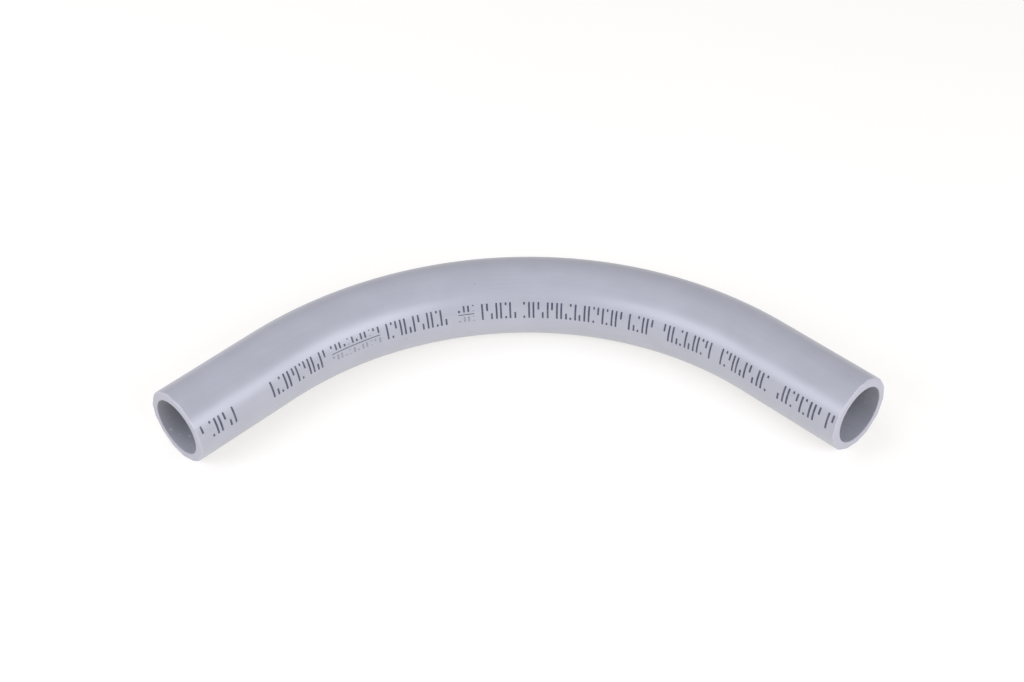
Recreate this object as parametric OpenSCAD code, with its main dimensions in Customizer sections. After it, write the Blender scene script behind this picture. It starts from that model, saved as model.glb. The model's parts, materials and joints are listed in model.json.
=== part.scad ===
// A rigid PVC conduit elbow: one length of pipe, bent through a quarter turn, with a
// straight run and a plain cut end on each side, and a line of factory ink marks along
// the inside of the bend.
// The origin is the centre of the first end face. The pipe leaves it along +Y, bends
// towards +X, and its centreline stays in the plane Z = 0.

/* [Pipe] */
// Outside diameter of the pipe
pipe_od = 33.4; // [24:0.1:60]
// Thickness of the pipe's wall
wall = 3.9; // [2.4:0.1:6]

/* [Bend] */
// Radius of the bend, to the pipe's centreline
bend_radius = 146.05; // [100:0.05:300]
// Angle that the bend turns through
bend_angle = 90; // [30:7.5:120]
// Straight run between the bend and each end face
straight_len = 51; // [40:0.5:120]
// How much each face of the wall is drawn in around the bend
drawn_in = 0.05; // [0.03:0.01:0.1]

/* [Cut ends] */
// How far the outer bevel cuts into the end face
bevel_in = 1; // [0.2:0.1:1.2]
// How far the outer bevel runs back along the pipe
bevel_back = 0.8; // [0.2:0.1:3]
// Size of the chamfer where the bore was deburred
deburr = 0.3; // [0.1:0.1:0.6]

/* [Ink line] */
// Height of the ink line, measured around the pipe
row_height = 7.6; // [3:0.1:10]
// How far the middle of the ink line sits above the inside of the bend, in degrees
row_tilt = 17; // [-30:1:30]
// Distance from one cell of the ink line to the next
cell_pitch = 4.5; // [4.2:0.1:8]
// Distance between the two strokes of a cell
stroke_gap = 2.4; // [1.4:0.1:2.8]
// Width of one ink stroke
stroke_width = 0.9; // [0.3:0.1:1.2]
// Width of the thin rule between the two rows of a small group
rule_width = 0.35; // [0.2:0.05:0.6]
// Thickness of the dried ink
ink_thickness = 0.05; // [0.02:0.01:0.1]

/* [Hidden] */
$fn = 96;
outer_r = pipe_od / 2;
bore_r = outer_r - wall;
bend_outer_r = outer_r - drawn_in;

// distances along the centreline, from the first end face
bend_len = bend_radius * bend_angle * PI / 180;
bend_from = straight_len;
bend_to = straight_len + bend_len;
path_len = bend_to + straight_len;
ink_from = bevel_back;
ink_to = path_len - bevel_back;
// an offcut of a stroke shorter than this is left out at a cut end and where two runs meet
least_run = 0.15;
// how far the drawn wall of the bend runs on inside the wall of each straight run
bend_lap = 1;

// The ink line is a row of cells in groups: [cells, blank cells after them, small].
// The row repeats along the pipe, and the saw cuts it where the pipe was cut.
ink_groups = [
    [1, 0.5, false], [3, 4, false], [7, 0.5, false], [6, 0.5, true],
    [7, 1, false], [2, 0.5, true], [4, 0.5, false], [11, 0.5, false],
    [3, 1, false], [6, 1, false], [6, 1, false], [5, 0.5, false]
];
row_cells = cells_before(len(ink_groups));
row_len = row_cells * cell_pitch;
row_repeats = ceil(path_len / row_len);

// The strokes of a cell: [side, foot, head], with the foot and head as shares of the row.
cell_strokes = [
    [[0, 0, 1], [1, 0.55, 1]],
    [[0, 0, 0.4], [1, 0, 1]],
    [[0, 0, 1], [1, 0, 0.16], [1, 0.84, 1]],
    [[0, 0.55, 1], [1, 0, 1]],
    [[0, 0, 1], [1, 0, 0.4]],
    [[0, 0, 0.16], [0, 0.84, 1], [1, 0, 1]]
];
// a full-height row, the two rows of a small group and the rule between them, as shares of the row
full_row = [0, 1];
small_rows = [[0.62, 1], [0, 0.34]];
rule_at = 0.48;

// How many cells, inked or blank, come before a group.
function cells_before(group) =
    group == 0 ? 0 : cells_before(group - 1) + ink_groups[group - 1][0] + ink_groups[group - 1][1];

// The angle around the pipe of a height in the ink line, from the inside of the bend.
function row_angle(share) = row_tilt + (share - 0.5) * row_height / outer_r * 180 / PI;

// The strokes of one cell, squeezed between two shares of the row.
function cell_patches(from, kind, row) = [
    for (stroke = cell_strokes[kind])
        let (
            side = from + stroke[0] * stroke_gap,
            foot = row[0] + stroke[1] * (row[1] - row[0]),
            head = row[0] + stroke[2] * (row[1] - row[0])
        )
        [side, side + stroke_width, row_angle(foot), row_angle(head)]
];

// The rule between the two rows of a small group.
function rule_patch(from, cells) =
    let (
        to = from + (cells - 1) * cell_pitch + stroke_gap + stroke_width,
        middle = row_angle(rule_at),
        half_rule = rule_width / outer_r * 90 / PI
    )
    [from, to, middle - half_rule, middle + half_rule];

// One group of cells: a full-height row, or two small rows with a rule between them.
function group_patches(from, group) =
    let (cells = ink_groups[group][0], small = ink_groups[group][2], kinds = len(cell_strokes))
    [
        for (cell = [0:cells - 1])
            let (kind = (5 * group + 7 * cell + floor(cell / 3)) % kinds)
            for (row = small ? small_rows : [full_row])
                each cell_patches(from + cell * cell_pitch, kind, row),
        if (small) rule_patch(from, cells)
    ];

// Every patch of ink on the pipe: [from, to, foot, head].
ink_patches = [
    for (repeat = [0:row_repeats - 1])
        for (group = [0:len(ink_groups) - 1])
            each group_patches(repeat * row_len + cells_before(group) * cell_pitch, group)
];

// Puts a shape that starts along +Y where the bend ends.
module after_bend() {
    translate([bend_radius, straight_len, 0])
        rotate([0, 0, -bend_angle])
            translate([-bend_radius, 0, 0])
                children();
}

// A run of a section along +Y. The section's own +X is the outside of the bend.
module straight_run(from, to) {
    translate([0, from, 0])
        rotate([90, 0, 180])
            linear_extrude(to - from)
                children();
}

// A run of a section around the bend, between two distances from its start.
module bent_run(from, to) {
    turn = bend_angle / bend_len;
    translate([bend_radius, straight_len, 0])
        rotate_extrude(angle = (to - from) * turn, start = 180 - to * turn)
            translate([bend_radius, 0])
                children();
}

// The wall of the pipe around the bend, cut square across.
module wall_section() {
    difference() {
        circle(bend_outer_r);
        circle(bore_r + drawn_in);
    }
}

// One straight end, standing on its cut face, with both edges of the face broken.
module cut_end() {
    rotate_extrude()
        polygon([
            [bore_r + deburr, 0],
            [outer_r - bevel_in, 0],
            [outer_r, bevel_back],
            [outer_r, straight_len],
            [bore_r, straight_len],
            [bore_r, deburr]
        ]);
}

module bent_pipe() {
    color([0.70, 0.71, 0.76])
        union() {
            rotate([-90, 0, 0])
                cut_end();
            bent_run(-bend_lap, bend_len + bend_lap)
                wall_section();
            after_bend()
                translate([0, straight_len, 0])
                    rotate([90, 0, 0])
                        cut_end();
        }
}

// A film of ink on a wall of the given radius, between two heights of the ink line.
module ink_section(wall_r, foot, head) {
    reach = 2 * wall_r;
    intersection() {
        difference() {
            circle(wall_r + ink_thickness);
            circle(wall_r);
        }
        polygon([
            [0, 0],
            [-reach * cos(foot), reach * sin(foot)],
            [-reach * cos(head), reach * sin(head)]
        ]);
    }
}

// A patch of ink between two distances along the pipe, on whichever runs it covers.
module ink_patch(from, to, foot, head) {
    start = max(from, ink_from);
    end = min(to, ink_to);
    if (min(end, bend_from) - start > least_run)
        straight_run(start, min(end, bend_from))
            ink_section(outer_r, foot, head);
    if (min(end, bend_to) - max(start, bend_from) > least_run)
        bent_run(max(start, bend_from) - bend_from, min(end, bend_to) - bend_from)
            ink_section(bend_outer_r, foot, head);
    if (end - max(start, bend_to) > least_run)
        after_bend()
            straight_run(max(start, bend_to) - bend_to, end - bend_to)
                ink_section(outer_r, foot, head);
}

module ink_marks() {
    color([0.25, 0.27, 0.36])
        for (patch = ink_patches)
            ink_patch(patch[0], patch[1], patch[2], patch[3]);
}

bent_pipe();
ink_marks();
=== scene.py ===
import json
import math
import random

import bmesh
import bpy
from mathutils import Matrix, Quaternion, Vector


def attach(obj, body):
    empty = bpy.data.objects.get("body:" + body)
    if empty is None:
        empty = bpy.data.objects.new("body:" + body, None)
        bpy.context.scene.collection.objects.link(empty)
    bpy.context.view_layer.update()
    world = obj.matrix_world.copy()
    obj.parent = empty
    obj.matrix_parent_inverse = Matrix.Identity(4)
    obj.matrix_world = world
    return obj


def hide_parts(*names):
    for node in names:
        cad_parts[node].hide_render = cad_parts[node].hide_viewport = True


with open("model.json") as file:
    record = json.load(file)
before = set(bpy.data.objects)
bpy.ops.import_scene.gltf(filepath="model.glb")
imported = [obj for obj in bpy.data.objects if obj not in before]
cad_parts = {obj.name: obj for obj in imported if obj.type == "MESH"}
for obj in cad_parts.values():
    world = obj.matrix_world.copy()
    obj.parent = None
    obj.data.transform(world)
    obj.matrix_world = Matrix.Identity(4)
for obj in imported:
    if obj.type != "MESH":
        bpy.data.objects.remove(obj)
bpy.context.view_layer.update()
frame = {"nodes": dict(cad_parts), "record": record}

mm = 0.001


# The elbow's own sizes, read from its mounts. The pipe leaves the origin along +Y and turns
# through a quarter turn towards +X.

def readElbow():
    mounts = {mount["name"]: mount for mount in frame["record"]["mounts"]}
    endB = Vector(mounts["bore_b"]["pos_m"])
    straight = 2 * (endB.x - mounts["spigot_b"]["pos_m"][0])
    bendRadius = endB.x - straight
    bendLength = bendRadius * math.pi / 2
    return {
        "outerRadius": mounts["spigot_a"]["dims"]["r_mm"] * mm,
        "boreRadius": mounts["bore_a"]["dims"]["r_mm"] * mm,
        "deburr": straight - mounts["bore_a"]["dims"]["length_mm"] * mm,
        "straight": straight,
        "bendRadius": bendRadius,
        "bendLength": bendLength,
        "length": 2 * straight + bendLength,
        "centre": Vector((endB.x / 2, endB.y / 2, 0)),
    }


elbow = readElbow()


# Pieces are modelled on a straight pipe along +Y, whose +X side becomes the inside of the bend.

def bent(point):
    turn = min(max(point.y - elbow["straight"], 0), elbow["bendLength"]) / elbow["bendRadius"]
    before = min(point.y, elbow["straight"])
    after = max(point.y - elbow["straight"] - elbow["bendLength"], 0)
    reach = elbow["bendRadius"] - point.x
    return Vector((
        elbow["bendRadius"] - reach * math.cos(turn) + after,
        before + reach * math.sin(turn),
        point.z,
    ))


# the other way: how far along the pipe a point is, and its angle above the inside of the bend
def unbent(point):
    ahead = point.y - elbow["straight"]
    aside = point.x - elbow["bendRadius"]
    if ahead <= 0:
        along, across = point.y, point.x
    elif aside >= 0:
        along = elbow["straight"] + elbow["bendLength"] + aside
        across = elbow["bendRadius"] - ahead
    else:
        along = elbow["straight"] + elbow["bendRadius"] * math.atan2(ahead, -aside)
        across = elbow["bendRadius"] - math.hypot(ahead, aside)
    return along, math.atan2(point.z, across)


# Bends everything in the bmesh, and keeps each point's place on the straight pipe for the materials.
def bendAll(bm):
    onPipe = bm.verts.layers.float_vector.new("onPipe")
    for vert in bm.verts:
        vert[onPipe] = vert.co
        vert.co = bent(vert.co)


def addPiece(name, bm, materials):
    mesh = bpy.data.meshes.new(name)
    bm.to_mesh(mesh)
    bm.free()
    for material in materials:
        mesh.materials.append(material)
    piece = bpy.data.objects.new(name, mesh)
    bpy.context.scene.collection.objects.link(piece)
    return piece


# Small helpers for the node trees.

def addNode(tree, kind, values=None, **settings):
    node = tree.nodes.new("ShaderNode" + kind)
    for name, value in settings.items():
        setattr(node, name, value)
    for socket, value in (values or {}).items():
        if isinstance(value, bpy.types.NodeSocket):
            tree.links.new(value, node.inputs[socket])
        else:
            node.inputs[socket].default_value = value
    return node


def mathOf(tree, operation, first, second=0.0, third=0.0):
    return addNode(tree, "Math", {0: first, 1: second, 2: third}, operation=operation).outputs[0]


# a share of one value, and the rest of another
def blendOf(tree, first, second, share):
    return mathOf(tree, "MULTIPLY_ADD", first, share, mathOf(tree, "MULTIPLY", second, 1 - share))


# a value from 0 to 1 as another runs between two limits
def ramp(tree, value, low, high):
    spread = addNode(tree, "MapRange", {"Value": value, "From Min": low, "From Max": high})
    spread.interpolation_type = "SMOOTHSTEP"
    return spread.outputs["Result"]


def mixColour(tree, factor, first, second):
    mix = addNode(tree, "Mix", data_type="RGBA")
    for socket, value in (("Factor_Float", factor), ("A_Color", first), ("B_Color", second)):
        target = next(s for s in mix.inputs if s.identifier == socket)
        if isinstance(value, bpy.types.NodeSocket):
            tree.links.new(value, target)
        else:
            target.default_value = value
    return next(s for s in mix.outputs if s.identifier == "Result_Color")


# noise whose grains are scaled apart in x, y and z
def grain(tree, position, scale, stretch=(1, 1, 1), detail=2.0, rough=0.5):
    placed = addNode(tree, "Mapping", {"Vector": position, "Scale": stretch})
    values = {"Vector": placed.outputs[0], "Scale": scale, "Detail": detail, "Roughness": rough}
    return addNode(tree, "TexNoise", values).outputs["Fac"]


def startGroup(name, inputs, outputs):
    tree = bpy.data.node_groups.new(name, "ShaderNodeTree")
    for socketName, kind in inputs.items():
        tree.interface.new_socket(name=socketName, in_out="INPUT", socket_type="NodeSocket" + kind)
    for socketName in outputs:
        tree.interface.new_socket(name=socketName, in_out="OUTPUT", socket_type="NodeSocketFloat")
    return tree, tree.nodes.new("NodeGroupInput").outputs, tree.nodes.new("NodeGroupOutput").inputs


def useGroup(tree, group, values):
    node = addNode(tree, "Group", node_tree=group)
    for socket, value in values.items():
        if isinstance(value, bpy.types.NodeSocket):
            tree.links.new(value, node.inputs[socket])
        else:
            node.inputs[socket].default_value = value
    return node.outputs


extrusion = {
    "detail": 3.0,
    "alongLines": (1, 0.02, 1),
    "peelGrain": (0.6, 0.6, 0.6),
    "peelDetail": 1.0,
    "mainShare": 0.6,
}


# Extruded PVC: soft clouds in its colour, and fine die lines that run along the pipe.
def extrusionGroup():
    inputs = {"Position": "Vector", "Cloud Scale": "Float", "Line Scale": "Float"}
    tree, given, made = startGroup("extrusion", inputs, ("Shade", "Height"))
    place, fine = given["Position"], given["Line Scale"]
    clouds = grain(tree, place, given["Cloud Scale"], (1, 1, 1), extrusion["detail"])
    lines = grain(tree, place, fine, extrusion["alongLines"], extrusion["detail"])
    peel = grain(tree, place, fine, extrusion["peelGrain"], extrusion["peelDetail"])
    tree.links.new(blendOf(tree, clouds, lines, extrusion["mainShare"]), made["Shade"])
    tree.links.new(blendOf(tree, lines, peel, extrusion["mainShare"]), made["Height"])
    return tree


speck = {
    "raggedScale": 2600.0,
    "ragged": 0.4 * mm,
    "leastSize": 0.3,
    "solidShare": 0.45,
}


# Specks of dust or dirt: a ragged spot in some of the cells.
def speckGroup():
    inputs = {"Position": "Vector", "Scale": "Float", "Size": "Float", "Share": "Float"}
    tree, given, made = startGroup("specks", inputs, ("Mask",))
    wobble = addNode(tree, "TexNoise", {"Vector": given["Position"], "Scale": speck["raggedScale"]})
    most = (speck["ragged"],) * 3
    nudge = addNode(tree, "VectorMath", {0: wobble.outputs["Color"], 1: most}, operation="MULTIPLY")
    moved = addNode(tree, "VectorMath", {0: given["Position"], 1: nudge.outputs[0]}, operation="ADD")
    cells = addNode(tree, "TexVoronoi", {"Vector": moved.outputs[0], "Scale": given["Scale"]})
    chance = addNode(tree, "SeparateColor", {"Color": cells.outputs["Color"]})
    share = mathOf(tree, "ADD", chance.outputs["Green"], speck["leastSize"])
    size = mathOf(tree, "MULTIPLY", given["Size"], share)
    solid = mathOf(tree, "MULTIPLY", size, speck["solidShare"])
    spot = ramp(tree, cells.outputs["Distance"], size, solid)
    chosen = mathOf(tree, "LESS_THAN", chance.outputs["Red"], given["Share"])
    tree.links.new(mathOf(tree, "MULTIPLY", spot, chosen), made["Mask"])
    return tree


endWear = {
    "grainScale": 700.0,
    "grainDetail": 4.0,
    "grainRough": 0.7,
    "leastReach": 0.2,
    "raggedReach": 1.6,
}


# Wear that starts at both cut ends and fades with the distance from them, with a ragged edge.
def endWearGroup():
    inputs = {"Position": "Vector", "Length": "Float", "Reach": "Float"}
    tree, given, made = startGroup("endWear", inputs, ("Wear", "From End"))
    along = addNode(tree, "SeparateXYZ", {"Vector": given["Position"]}).outputs["Y"]
    fromEnd = mathOf(tree, "MINIMUM", along, mathOf(tree, "SUBTRACT", given["Length"], along))
    detail, rough = endWear["grainDetail"], endWear["grainRough"]
    ragged = grain(tree, given["Position"], endWear["grainScale"], (1, 1, 1), detail, rough)
    share = mathOf(tree, "MULTIPLY_ADD", ragged, endWear["raggedReach"], endWear["leastReach"])
    reach = mathOf(tree, "MULTIPLY", given["Reach"], share)
    tree.links.new(ramp(tree, fromEnd, reach, 0.0), made["Wear"])
    tree.links.new(fromEnd, made["From End"])
    return tree


groups = {"extrusion": extrusionGroup(), "specks": speckGroup(), "endWear": endWearGroup()}


def extrusionOn(tree, position, look):
    return useGroup(tree, groups["extrusion"], {
        "Position": position, "Cloud Scale": look["cloudScale"], "Line Scale": look["lineScale"],
    })


def specksOn(tree, position, look):
    return useGroup(tree, groups["specks"], {
        "Position": position,
        "Scale": look["speckScale"], "Size": look["speckSize"], "Share": look["speckShare"],
    })["Mask"]


def endWearOn(tree, position, look):
    return useGroup(tree, groups["endWear"], {
        "Position": position, "Length": elbow["length"], "Reach": look["wearReach"],
    })


pvcIor = 1.53


def startMaterial(name):
    material = bpy.data.materials.new(name)
    material.use_nodes = True
    tree = material.node_tree
    shader = tree.nodes["Principled BSDF"]
    shader.inputs["IOR"].default_value = pvcIor
    position = addNode(tree, "Attribute", attribute_name="onPipe").outputs["Vector"]
    return material, tree, shader, position


# roughness that rises and falls with the shade, around the material's own
def linkRoughness(tree, shader, shade, look):
    least = look["roughness"] - look["roughnessSpread"] / 2
    roughness = mathOf(tree, "MULTIPLY_ADD", shade, look["roughnessSpread"], least)
    tree.links.new(roughness, shader.inputs["Roughness"])


def linkBump(tree, shader, height, look):
    values = {"Height": height, "Distance": look["bumpDepth"], "Strength": look["bumpStrength"]}
    bump = addNode(tree, "Bump", values)
    tree.links.new(bump.outputs["Normal"], shader.inputs["Normal"])


pvc = {
    "light": (0.400, 0.409, 0.452, 1),
    "dark": (0.377, 0.385, 0.427, 1),
    "scuffed": (0.50, 0.50, 0.56, 1),
    "dirt": (0.20, 0.19, 0.19, 1),
    "roughness": 0.36,
    "roughnessSpread": 0.14,
    "shine": 0.9,
    "cloudScale": 70.0,
    "lineScale": 1500.0,
    "speckScale": 120.0,
    "speckSize": 0.085,
    "speckShare": 0.20,
    "speckStrength": 0.5,
    "wearReach": 0.9 * mm,
    "bumpDepth": 0.02 * mm,
    "bumpStrength": 0.5,
}
cloudLimits = (0.35, 0.65)  # the shades at which the plastic is all dark and all light


# the outside of the pipe: satin, with a little dirt and a scuffed edge at each cut
def pipeWallMaterial():
    material, tree, shader, position = startMaterial("greyPvcWall")
    shader.inputs["Specular IOR Level"].default_value = pvc["shine"]
    look = extrusionOn(tree, position, pvc)
    wear = endWearOn(tree, position, pvc)["Wear"]
    dirt = mathOf(tree, "MULTIPLY", specksOn(tree, position, pvc), pvc["speckStrength"])
    plastic = mixColour(tree, ramp(tree, look["Shade"], *cloudLimits), pvc["dark"], pvc["light"])
    worn = mixColour(tree, wear, plastic, pvc["scuffed"])
    dirty = mixColour(tree, dirt, worn, pvc["dirt"])
    tree.links.new(dirty, shader.inputs["Base Color"])
    linkRoughness(tree, shader, look["Shade"], pvc)
    linkBump(tree, shader, look["Height"], pvc)
    return material


cut = {
    "face": (0.475, 0.478, 0.525, 1),
    "burr": (0.53, 0.53, 0.58, 1),
    "groove": (0.40, 0.402, 0.44, 1),
    "roughness": 0.55,
    "roughnessSpread": 0.2,
    "cloudScale": 260.0,
    "lineScale": 2400.0,
    "sawPitch": 0.35 * mm,
    "sawWaves": 0.32,  # the wave texture's scale for a pitch of 1 m
    "sawSlant": 34,
    "sawWander": 2.5,
    "sawDetail": 3.0,
    "sawHeight": 0.4,
    "burrFrom": 1.0 * mm,
    "burrTo": 0.1 * mm,
    "bumpDepth": 0.05 * mm,
    "bumpStrength": 0.5,
}


# the sawn end faces and their bevels: paler and duller than the wall, with the marks of the blade
def cutFaceMaterial():
    material, tree, shader, position = startMaterial("cutPvc")
    slant = (0, math.radians(cut["sawSlant"]), 0)
    sawPlace = addNode(tree, "Mapping", {"Vector": position, "Rotation": slant}).outputs[0]
    saw = addNode(tree, "TexWave", {
        "Vector": sawPlace, "Scale": cut["sawWaves"] / cut["sawPitch"],
        "Distortion": cut["sawWander"], "Detail": cut["sawDetail"],
    }).outputs["Fac"]
    look = extrusionOn(tree, position, cut)
    place = addNode(tree, "SeparateXYZ", {"Vector": position}).outputs
    across = mathOf(tree, "MULTIPLY", place["X"], place["X"])
    radius = mathOf(tree, "SQRT", mathOf(tree, "MULTIPLY_ADD", place["Z"], place["Z"], across))
    burr = ramp(tree, radius, elbow["outerRadius"] - cut["burrFrom"], elbow["outerRadius"] - cut["burrTo"])
    sawn = mixColour(tree, mathOf(tree, "MULTIPLY", saw, look["Shade"]), cut["groove"], cut["face"])
    edged = mixColour(tree, mathOf(tree, "MULTIPLY", burr, look["Shade"]), sawn, cut["burr"])
    tree.links.new(edged, shader.inputs["Base Color"])
    linkRoughness(tree, shader, look["Shade"], cut)
    linkBump(tree, shader, mathOf(tree, "MULTIPLY_ADD", saw, cut["sawHeight"], look["Height"]), cut)
    return material


bore = {
    "light": (0.42, 0.43, 0.475, 1),
    "dark": (0.39, 0.40, 0.445, 1),
    # painted shade: a dark green-grey that stands in for the shade deep inside the bore
    "paintedDepthShade": (0.13, 0.145, 0.135, 1),
    "paintedShadeFrom": 1 * mm,
    "paintedShadeTo": 30 * mm,
    "dust": (0.80, 0.78, 0.74, 1),
    "roughness": 0.36,
    "roughnessSpread": 0.16,
    "cloudScale": 110.0,
    "lineScale": 1200.0,
    "speckScale": 400.0,
    "speckSize": 0.2,
    "speckShare": 0.85,
    "speckStrength": 0.6,
    "speckHeight": 2.0,
    "wearReach": 0.6 * mm,
    "bumpDepth": 0.03 * mm,
    "bumpStrength": 0.6,
}


# the inside of the pipe: a painted shade that darkens it further in, with the pale sawdust that clings to it
def boreMaterial():
    material, tree, shader, position = startMaterial("borePvc")
    look = extrusionOn(tree, position, bore)
    dust = specksOn(tree, position, bore)
    end = endWearOn(tree, position, bore)
    # painted shade: the bore's colour runs to that dark green-grey from 1 mm to 30 mm in from each end
    paintedDepthShade = ramp(tree, end["From End"], bore["paintedShadeFrom"], bore["paintedShadeTo"])
    plastic = mixColour(tree, ramp(tree, look["Shade"], *cloudLimits), bore["dark"], bore["light"])
    shaded = mixColour(tree, paintedDepthShade, plastic, bore["paintedDepthShade"])
    worn = mixColour(tree, end["Wear"], shaded, pvc["scuffed"])
    dusty = mixColour(tree, mathOf(tree, "MULTIPLY", dust, bore["speckStrength"]), worn, bore["dust"])
    tree.links.new(dusty, shader.inputs["Base Color"])
    linkRoughness(tree, shader, look["Shade"], bore)
    linkBump(tree, shader, mathOf(tree, "MULTIPLY_ADD", dust, bore["speckHeight"], look["Height"]), bore)
    return material


ink = {
    "colour": (0.022, 0.028, 0.060, 1),
    "thin": (0.070, 0.082, 0.130, 1),
    "worn": 0.18,
    "wornFrom": 0.58,
    "wornTo": 0.36,
    "roughness": 0.42,
    "roughnessSpread": 0.16,
    "cloudScale": 420.0,
    "lineScale": 3200.0,
    "bumpDepth": 0.02 * mm,
    "bumpStrength": 0.5,
}


# the printed line: where the ink is thin, the grey of the pipe shows through
def inkMaterial():
    material, tree, shader, position = startMaterial("printingInk")
    strength = addNode(tree, "Attribute", attribute_name="inkStrength").outputs["Fac"]
    look = extrusionOn(tree, position, ink)
    patchy = ramp(tree, look["Shade"], ink["wornFrom"], ink["wornTo"])
    missing = mathOf(tree, "MULTIPLY_ADD", patchy, ink["worn"], mathOf(tree, "SUBTRACT", 1.0, strength))
    inked = mixColour(tree, look["Shade"], ink["colour"], ink["thin"])
    printed = mixColour(tree, mathOf(tree, "MINIMUM", missing, 1.0), inked, pvc["light"])
    tree.links.new(printed, shader.inputs["Base Color"])
    linkRoughness(tree, shader, look["Shade"], ink)
    linkBump(tree, shader, look["Height"], ink)
    return material


# The pipe: a tube with its end faces, beveled rims that were scraped with a knife, then bent.

pipe = {
    "facesAround": 160,
    "ringsInBend": 120,
    "bevelIn": 1.0 * mm,
    "bevelBack": 1.2 * mm,
    "softEdge": 0.1 * mm,
    "scrapesAround": 14,
    "scrapeScatter": 0.25,  # of the spacing between two flats
    "heavySide": 215,  # degrees above the inside of the bend: the knife cut deepest here
    "lightScrape": 0.35 * mm,
    "heavyScrape": 1.15 * mm,
    "leastScrape": 0.15 * mm,
    "unevenness": 0.12 * mm,
    "leastFacing": 0.8,  # cosine of the widest angle at which a flat still reaches the rim
    "seeds": {"first": 3, "second": 8},
    "sharpAngle": 9,
    "tolerance": 0.02 * mm,
    "slots": {"wall": 0, "cut": 1, "bore": 2},
}


def edgesAround(bm, radius, along):
    def isOn(vert):
        offRadius = abs(math.hypot(vert.co.x, vert.co.z) - radius)
        return offRadius < pipe["tolerance"] and abs(vert.co.y - along) < pipe["tolerance"]
    return [edge for edge in bm.edges if all(isOn(vert) for vert in edge.verts)]


def bevelAround(bm, radius, along, width, segments):
    bmesh.ops.bevel(
        bm, geom=edgesAround(bm, radius, along), offset=width, offset_type="OFFSET",
        segments=segments, profile=0.5, affect="EDGES", material=-1,
    )


# the knife's flats around a rim: the angle that each faces, and its distance from the middle
def scrapeFlats(seed):
    draw = random.Random(seed)
    count = pipe["scrapesAround"]
    flats = []
    for number in range(count):
        nudge = draw.uniform(-pipe["scrapeScatter"], pipe["scrapeScatter"])
        angle = 2 * math.pi * (number + nudge) / count
        heavy = 0.5 + 0.5 * math.cos(angle - math.radians(pipe["heavySide"]))
        depth = pipe["lightScrape"] + heavy * (pipe["heavyScrape"] - pipe["lightScrape"])
        depth += draw.uniform(0, pipe["unevenness"])
        flats.append((angle, elbow["outerRadius"] - depth))
    return flats


# how far the flats cut into the rim at an angle around it
def scrapedDepth(angle, flats):
    facing = [(math.cos(angle - middle), distance) for middle, distance in flats]
    reach = min(distance / cosine for cosine, distance in facing if cosine > pipe["leastFacing"])
    return max(elbow["outerRadius"] - reach, pipe["leastScrape"])


# scales the even bevel of a rim to the depth that the knife reached there
def scrapeRim(bm, end, seed):
    flats = scrapeFlats(seed)
    rimReach = 2 * pipe["bevelIn"]
    for vert in bm.verts:
        back = abs(vert.co.y - end)
        radius = math.hypot(vert.co.x, vert.co.z)
        into = elbow["outerRadius"] - radius
        if back > rimReach or into > rimReach:
            continue
        share = scrapedDepth(math.atan2(vert.co.z, vert.co.x), flats) / pipe["bevelIn"]
        newRadius = elbow["outerRadius"] - into * share
        newBack = back * share * pipe["bevelBack"] / pipe["bevelIn"]
        vert.co.x *= newRadius / radius
        vert.co.z *= newRadius / radius
        vert.co.y = end + math.copysign(newBack, elbow["length"] / 2 - end)


def makePipe():
    bm = bmesh.new()
    facingY = Matrix.Rotation(math.radians(90), 4, "X")
    rings = []
    for radius in (elbow["outerRadius"], elbow["boreRadius"]):
        ring = bmesh.ops.create_circle(bm, segments=pipe["facesAround"], radius=radius, matrix=facingY)
        rings += [edge for vert in ring["verts"] for edge in vert.link_edges]
    face = bmesh.ops.bridge_loops(bm, edges=list(dict.fromkeys(rings)))["faces"]
    grown = bmesh.ops.extrude_face_region(bm, geom=face, use_keep_orig=True)["geom"]
    bmesh.ops.translate(
        bm, vec=(0, elbow["length"], 0), verts=[v for v in grown if isinstance(v, bmesh.types.BMVert)]
    )
    bmesh.ops.recalc_face_normals(bm, faces=bm.faces)

    for end, inward in ((0, 1), (elbow["length"], -1)):
        bevelAround(bm, elbow["outerRadius"], end, pipe["bevelIn"], 1)
        bevelAround(bm, elbow["outerRadius"] - pipe["bevelIn"], end, pipe["softEdge"], 2)
        bevelAround(bm, elbow["outerRadius"], end + inward * pipe["bevelIn"], pipe["softEdge"], 2)
        bevelAround(bm, elbow["boreRadius"], end, elbow["deburr"], 2)
    scrapeRim(bm, 0, pipe["seeds"]["first"])
    scrapeRim(bm, elbow["length"], pipe["seeds"]["second"])

    middleRadius = (elbow["outerRadius"] + elbow["boreRadius"]) / 2
    for face in bm.faces:
        centre = face.calc_center_median()
        fromEnd = min(centre.y, elbow["length"] - centre.y)
        place = "bore" if math.hypot(centre.x, centre.z) < middleRadius else "wall"
        if fromEnd < 2 * pipe["bevelIn"]:
            place = "cut"
        face.material_index = pipe["slots"][place]
        face.smooth = True

    for along in (elbow["straight"], elbow["straight"] + elbow["bendLength"]):
        everything = bm.verts[:] + bm.edges[:] + bm.faces[:]
        bmesh.ops.bisect_plane(bm, geom=everything, plane_co=(0, along, 0), plane_no=(0, 1, 0))
    alongBend = [
        edge for edge in bm.edges
        if abs(abs(edge.verts[0].co.y - edge.verts[1].co.y) - elbow["bendLength"]) < pipe["tolerance"]
    ]
    bmesh.ops.subdivide_edges(bm, edges=alongBend, cuts=pipe["ringsInBend"] - 1, use_grid_fill=True)
    for edge in bm.edges:
        edge.smooth = edge.calc_face_angle(0) < math.radians(pipe["sharpAngle"])
    bendAll(bm)
    piece = addPiece("bentPipe", bm, [pipeWallMaterial(), cutFaceMaterial(), boreMaterial()])
    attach(piece, "root")
    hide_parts("bent_pipe")
    print("pipe bent:", len(piece.data.polygons), "faces")


# The ink: each printed stroke is found on the CAD node, and made again as a thin film on the wall.

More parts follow.
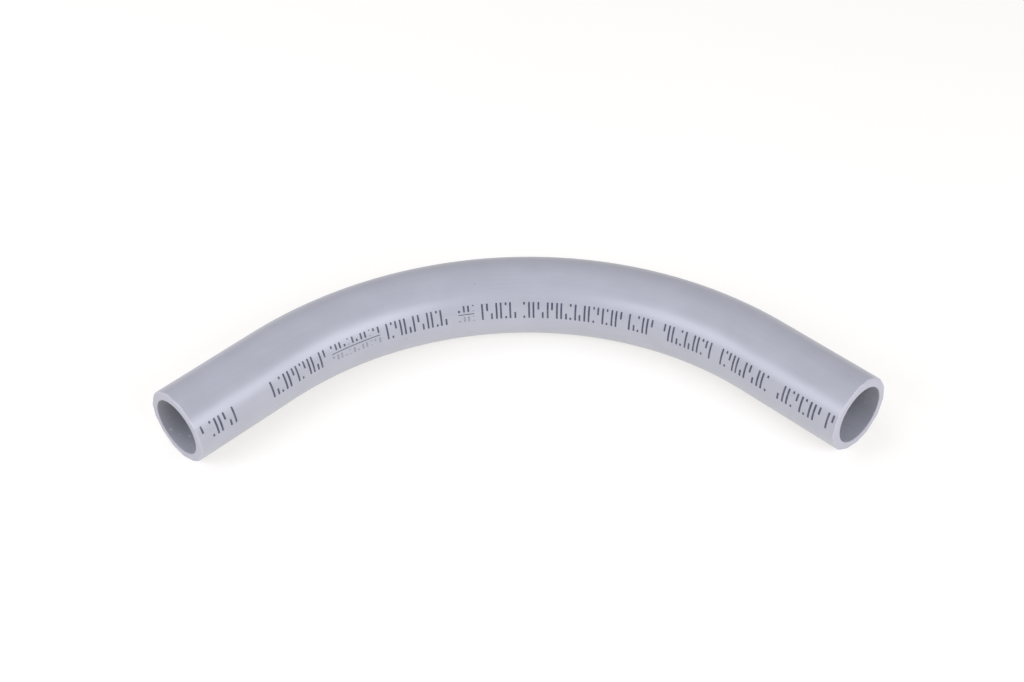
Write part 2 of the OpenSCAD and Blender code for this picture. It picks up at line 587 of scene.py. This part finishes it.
film = {
    "sunk": 0.02 * mm,
    "raised": 0.03 * mm,
    "cornerRadius": 0.22 * mm,
    "cornerShare": 0.3,  # the most of a stroke's side that one corner takes
    "stepAlong": 2.0 * mm,
    "stepAround": 1.3 * mm,
    "fadedStrength": 0.45,
    "mergeWithin": 0.001 * mm,
}


# the patches on the CAD node: where each begins and ends along the pipe, and around it
def readStrokes():
    bm = bmesh.new()
    bm.from_mesh(frame["nodes"]["ink_marks"].data)
    bmesh.ops.remove_doubles(bm, verts=bm.verts, dist=film["mergeWithin"])
    strokes = []
    for first in bm.verts:
        if first.tag:
            continue
        first.tag = True
        joined = [first]
        for vert in joined:
            for edge in vert.link_edges:
                other = edge.other_vert(vert)
                if not other.tag:
                    other.tag = True
                    joined.append(other)
        places = [unbent(vert.co) for vert in joined]
        strokes.append({
            "from": min(along for along, angle in places),
            "to": max(along for along, angle in places),
            "foot": min(angle for along, angle in places) * elbow["outerRadius"],
            "head": max(angle for along, angle in places) * elbow["outerRadius"],
        })
    bm.free()
    return strokes


# the lower row of a small group, under its thin rule, is printed more faintly
def strokeStrength(stroke, rules):
    middle = (stroke["from"] + stroke["to"]) / 2
    isUnderRule = any(
        rule["from"] <= middle <= rule["to"] and stroke["head"] <= rule["foot"] for rule in rules
    )
    return film["fadedStrength"] if isUnderRule else 1.0


# a flat stroke with rounded corners: x runs along the pipe, y around it and z out of its wall
def addStroke(bm, stroke, strengthLayer, strength):
    along = stroke["to"] - stroke["from"]
    around = stroke["head"] - stroke["foot"]
    middle = ((stroke["from"] + stroke["to"]) / 2, (stroke["foot"] + stroke["head"]) / 2, -film["sunk"])
    before = len(bm.verts)
    bmesh.ops.create_grid(
        bm, size=0.5, matrix=Matrix.Translation(middle) @ Matrix.Diagonal((along, around, 1, 1)),
        x_segments=math.ceil(along / film["stepAlong"]), y_segments=math.ceil(around / film["stepAround"]),
    )
    bm.verts.ensure_lookup_table()
    corners = [vert for vert in bm.verts[before:] if len(vert.link_edges) == 2]
    radius = min(film["cornerRadius"], film["cornerShare"] * along, film["cornerShare"] * around)
    bmesh.ops.bevel(
        bm, geom=corners, offset=radius, offset_type="OFFSET", segments=2, profile=0.5,
        affect="VERTICES", material=-1,
    )
    bm.verts.ensure_lookup_table()
    flat = list(dict.fromkeys(face for vert in bm.verts[before:] for face in vert.link_faces))
    grown = bmesh.ops.extrude_face_region(bm, geom=flat, use_keep_orig=True)["geom"]
    bmesh.ops.translate(
        bm, vec=(0, 0, film["sunk"] + film["raised"]),
        verts=[vert for vert in grown if isinstance(vert, bmesh.types.BMVert)],
    )
    bm.verts.ensure_lookup_table()
    for vert in bm.verts[before:]:
        vert[strengthLayer] = strength


def makeInk():
    strokes = readStrokes()
    rules = [stroke for stroke in strokes if stroke["to"] - stroke["from"] > stroke["head"] - stroke["foot"]]
    bm = bmesh.new()
    strengthLayer = bm.verts.layers.float.new("inkStrength")
    for stroke in strokes:
        addStroke(bm, stroke, strengthLayer, strokeStrength(stroke, rules))
    for vert in bm.verts:
        angle = vert.co.y / elbow["outerRadius"]
        radius = elbow["outerRadius"] + vert.co.z
        vert.co = (radius * math.cos(angle), vert.co.x, radius * math.sin(angle))
    bmesh.ops.recalc_face_normals(bm, faces=bm.faces)
    bendAll(bm)
    piece = addPiece("inkMarks", bm, [inkMaterial()])
    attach(piece, "root")
    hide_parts("ink_marks")
    print("ink printed:", len(strokes), "strokes,", len(piece.data.polygons), "faces")


# The stage: a pale floor that glows a little, soft boxes at both sides and above, and even light
# all round.

stage = {
    "floorSize": 60.0,
    "floorColour": (0.50, 0.494, 0.473, 1),
    "floorShade": (0.49, 0.484, 0.463, 1),
    "floorGlow": 1.12,
    "floorRoughness": 0.9,
    "floorShine": 0.1,
    "floorClouds": 5.0,
    "worldColour": (1.0, 0.99, 0.97, 1),
    "worldStrength": 0.39,
    "worldSeen": 0.757,  # past the edge of the floor, which is as pale there
    "boxColour": (0.87, 0.872, 1.0),
    "boxDistance": 1.0,
}
softBoxes = {
    "right": {"azimuth": 98, "elevation": 28, "tilt": -15, "width": 0.85, "height": 0.56, "power": 7.1},
    "left": {"azimuth": -16, "elevation": 33, "tilt": 22, "width": 0.85, "height": 0.46, "power": 5.3},
    "top": {"azimuth": -85, "elevation": 60, "tilt": 0, "width": 0.90, "height": 0.90, "power": 3.3},
}

camera = {
    "azimuth": 47.62,
    "elevation": 42.18,
    "roll": -2.9,
    "lens": 63.29,
    "sensorWidth": 36,
    "nearest": 10 * mm,
    "distance": 769.6 * mm,
    "target": Vector((62.6 * mm, 131.4 * mm, 0)),
}


# the direction to a place seen from the object: azimuth 0 is at -Y, 90 at +X
def towards(azimuth, elevation):
    turn, rise = math.radians(azimuth), math.radians(elevation)
    return Vector((math.sin(turn) * math.cos(rise), -math.cos(turn) * math.cos(rise), math.sin(rise)))


def makeFloor():
    bm = bmesh.new()
    below = Matrix.Translation((elbow["centre"].x, elbow["centre"].y, -elbow["outerRadius"]))
    bmesh.ops.create_grid(bm, x_segments=1, y_segments=1, size=stage["floorSize"] / 2, matrix=below)
    material = bpy.data.materials.new("paleFloor")
    material.use_nodes = True
    tree = material.node_tree
    shader = tree.nodes["Principled BSDF"]
    shader.inputs["Roughness"].default_value = stage["floorRoughness"]
    shader.inputs["Specular IOR Level"].default_value = stage["floorShine"]
    clouds = grain(tree, addNode(tree, "TexCoord").outputs["Object"], stage["floorClouds"])
    soft = mixColour(tree, clouds, stage["floorShade"], stage["floorColour"])
    tree.links.new(soft, shader.inputs["Base Color"])
    tree.links.new(soft, shader.inputs["Emission Color"])
    shader.inputs["Emission Strength"].default_value = stage["floorGlow"]
    addPiece("floor", bm, [material])


def makeLights():
    world = bpy.data.worlds.new("studio")
    world.use_nodes = True
    bpy.context.scene.world = world
    tree = world.node_tree
    background = tree.nodes["Background"]
    background.inputs["Color"].default_value = stage["worldColour"]
    isSeen = addNode(tree, "LightPath").outputs["Is Camera Ray"]
    extra = stage["worldSeen"] - stage["worldStrength"]
    strength = mathOf(tree, "MULTIPLY_ADD", isSeen, extra, stage["worldStrength"])
    tree.links.new(strength, background.inputs["Strength"])
    for name, box in softBoxes.items():
        light = bpy.data.lights.new(name + "SoftBox", "AREA")
        light.shape = "RECTANGLE"
        light.size = box["width"]
        light.size_y = box["height"]
        light.energy = box["power"]
        light.color = stage["boxColour"]
        away = towards(box["azimuth"], box["elevation"])
        lamp = bpy.data.objects.new(name + "SoftBox", light)
        lamp.location = elbow["centre"] + away * stage["boxDistance"]
        lamp.rotation_mode = "QUATERNION"
        level = away.to_track_quat("Z", "Y")
        lamp.rotation_quaternion = level @ Quaternion((0, 0, 1), math.radians(box["tilt"]))
        lamp.visible_glossy = name != "top"  # fills the shade without a streak of its own
        lamp.visible_camera = False
        bpy.context.scene.collection.objects.link(lamp)


def makeCamera():
    data = bpy.data.cameras.new("studioCamera")
    data.lens = camera["lens"]
    data.sensor_width = camera["sensorWidth"]
    data.clip_start = camera["nearest"]
    away = towards(camera["azimuth"], camera["elevation"])
    viewer = bpy.data.objects.new("studioCamera", data)
    viewer.location = camera["target"] + away * camera["distance"]
    viewer.rotation_mode = "QUATERNION"
    level = away.to_track_quat("Z", "Y")
    viewer.rotation_quaternion = level @ Quaternion((0, 0, 1), math.radians(camera["roll"]))
    bpy.context.scene.collection.objects.link(viewer)
    bpy.context.scene.camera = viewer


makePipe()
makeInk()
makeFloor()
makeLights()
makeCamera()
bpy.context.scene.view_settings.view_transform = "Standard"
print("stage set")
